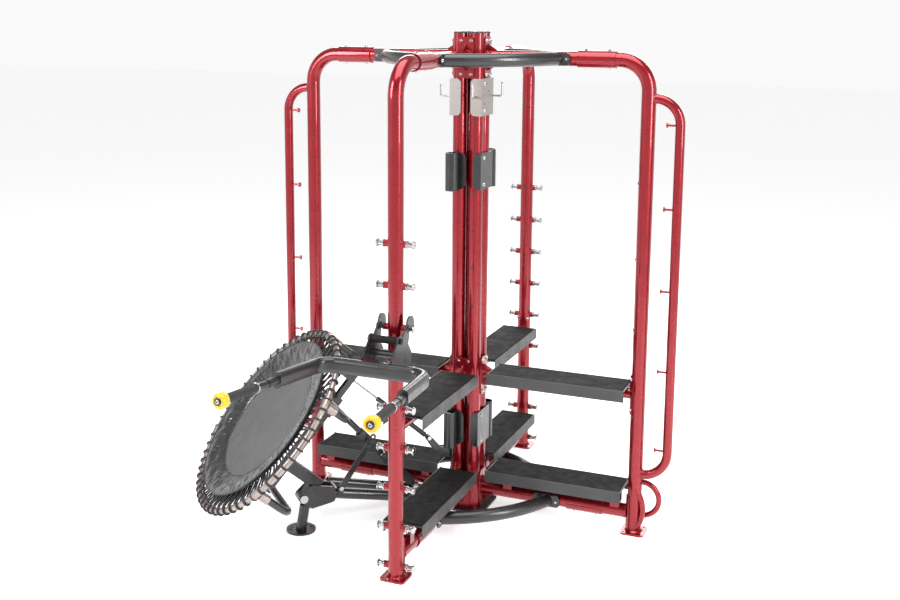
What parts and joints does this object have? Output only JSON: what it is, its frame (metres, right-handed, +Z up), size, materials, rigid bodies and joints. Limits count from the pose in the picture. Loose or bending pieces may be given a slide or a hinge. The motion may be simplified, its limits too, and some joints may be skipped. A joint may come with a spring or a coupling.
{
  "type": "multi-station training frame",
  "caption": "Four-post steel training frame with column, shelves, pegs, band loops, bar sockets, a tilting rebounder and a hook-on dip handle with rotating grips.",
  "frame": {"origin": "on the floor at the centre line of the column", "axes": "+X to the right post, +Y to the back post, +Z up"},
  "size_m": [2.4442, 3.0603, 2.663],
  "materials": {
    "red_coat": "gloss",
    "black_coat": "satin",
    "shelf_steel": "satin",
    "chrome": "polished",
    "stainless": "brushed",
    "rubber": "matte",
    "black_plastic": "matte",
    "yellow_plastic": "gloss",
    "ring_steel": "satin",
    "mat_fabric": "woven",
    "hem_vinyl": "gloss",
    "bungee": "woven"
  },
  "bodies": {
    "frame": {"column_tubes": "red_coat", "column_caps": "black_plastic", "column_spacers": "black_coat", "column_base_plate": "black_coat", "post_front": "red_coat", "post_back": "red_coat", "post_left": "red_coat", "post_right": "red_coat", "top_arms": "red_coat", "top_splices": "red_coat", "lower_beams": "red_coat", "lower_splices": "red_coat", "shelf_beams": "red_coat", "column_saddles": "red_coat", "post_saddles": "red_coat", "foot_plates": "red_coat", "top_braces": "black_coat", "lower_braces": "black_coat", "shelf_pans": "shelf_steel", "shelf_mats": "rubber", "shelf_stands": "red_coat", "peg_stubs": "red_coat", "peg_spools": "chrome", "band_loops": "red_coat", "band_pegs": "red_coat", "rope_anchors": "red_coat", "hook_plates": "stainless", "holder_plates": "black_coat", "hook_rods": "chrome", "bar_holders": "black_coat", "frame_bolts": "chrome", "bracket_bolts": "chrome", "tube_plugs": "black_plastic", "rebounder_base": "black_coat", "rebounder_foot": "black_coat", "pivot_gussets": "black_coat", "pivot_pin": "chrome", "linkage_pins": "chrome"},
    "handle": {"handle_plates": "black_coat", "handle_bar": "black_coat", "handle_sockets": "black_coat", "handle_spacer": "black_coat"},
    "roller": {"handle_roller": "rubber"},
    "grip_l": {"grip_left": "rubber"},
    "grip_r": {"grip_right": "rubber"},
    "wheel_l": {"end_wheel_left": "yellow_plastic"},
    "wheel_r": {"end_wheel_right": "yellow_plastic"},
    "rebounder": {"rebounder_ring": "ring_steel", "rebounder_hoops": "black_coat", "rebounder_clamps": "ring_steel", "rebounder_carriage": "black_coat", "rebounder_bungees": "bungee", "rebounder_mat": "mat_fabric", "mat_hem": "hem_vinyl"},
    "strut": {"strut_track": "black_coat"},
    "strut_inner": {"strut_slider": "black_coat"},
    "pull_pin": {"strut_pin": "chrome"},
    "prop": {"prop_link": "black_coat"},
    "spring": {"gas_spring_body": "black_coat"},
    "spring_rod": {"gas_spring_rod": "chrome"}
  },
  "joints": [
    {"name": "handle_lift", "type": "slide", "parent": "frame", "child": "handle", "axis": [0, 0, 1], "range_m": [0, 0.06]},
    {"name": "roller_spin", "type": "hinge", "parent": "handle", "child": "roller", "pos_m": [0, -1.112, 1.2512], "axis": [1, 0, 0], "continuous": true},
    {"name": "grip_left_spin", "type": "hinge", "parent": "handle", "child": "grip_l", "pos_m": [-0.268, -1.23, 1.136], "axis": [-0.1045, -0.9932, 0.052], "continuous": true},
    {"name": "grip_right_spin", "type": "hinge", "parent": "handle", "child": "grip_r", "pos_m": [0.268, -1.23, 1.136], "axis": [0.1045, -0.9932, 0.052], "continuous": true},
    {"name": "wheel_left_spin", "type": "hinge", "parent": "handle", "child": "wheel_l", "pos_m": [-0.268, -1.23, 1.136], "axis": [-0.1045, -0.9932, 0.052], "continuous": true},
    {"name": "wheel_right_spin", "type": "hinge", "parent": "handle", "child": "wheel_r", "pos_m": [0.268, -1.23, 1.136], "axis": [0.1045, -0.9932, 0.052], "continuous": true},
    {"name": "rebounder_tilt", "type": "hinge", "parent": "frame", "child": "rebounder", "pos_m": [-0.69155, -0.69155, 0.19], "axis": [0.7071, -0.7071, 0], "range_deg": [-6, 6]},
    {"name": "strut_swing", "type": "hinge", "parent": "frame", "child": "strut", "pos_m": [-0.23335, -0.23335, 0.166], "axis": [0.7071, -0.7071, 0], "range_deg": [-4, 4]},
    {"name": "strut_slide", "type": "slide", "parent": "strut", "child": "strut_inner", "axis": [-0.4765, -0.4765, 0.7388], "range_m": [-0.055, 0.055]},
    {"name": "pin_pull", "type": "slide", "parent": "strut", "child": "pull_pin", "axis": [0.7071, -0.7071, 0], "range_m": [0, 0.008]},
    {"name": "prop_swing", "type": "hinge", "parent": "frame", "child": "prop", "pos_m": [-0.54447, -0.54447, 0.222], "axis": [0.7071, -0.7071, 0], "range_deg": [-4, 4]},
    {"name": "spring_swing", "type": "hinge", "parent": "frame", "child": "spring", "pos_m": [-0.17253, -0.17253, 0.424], "axis": [0.7071, -0.7071, 0], "range_deg": [-4, 4]},
    {"name": "spring_slide", "type": "slide", "parent": "spring", "child": "spring_rod", "axis": [-0.5329, -0.5329, 0.6572], "range_m": [-0.075, 0.075]}
  ],
  "couplings": [
    {"joint": "strut_swing", "follows": "rebounder_tilt", "ratio": 0.416},
    {"joint": "strut_slide", "follows": "rebounder_tilt", "m_per_rad": 0.4624},
    {"joint": "prop_swing", "follows": "rebounder_tilt", "ratio": 0.1275},
    {"joint": "spring_swing", "follows": "rebounder_tilt", "ratio": 0.437},
    {"joint": "spring_slide", "follows": "rebounder_tilt", "m_per_rad": 0.6584}
  ]
}
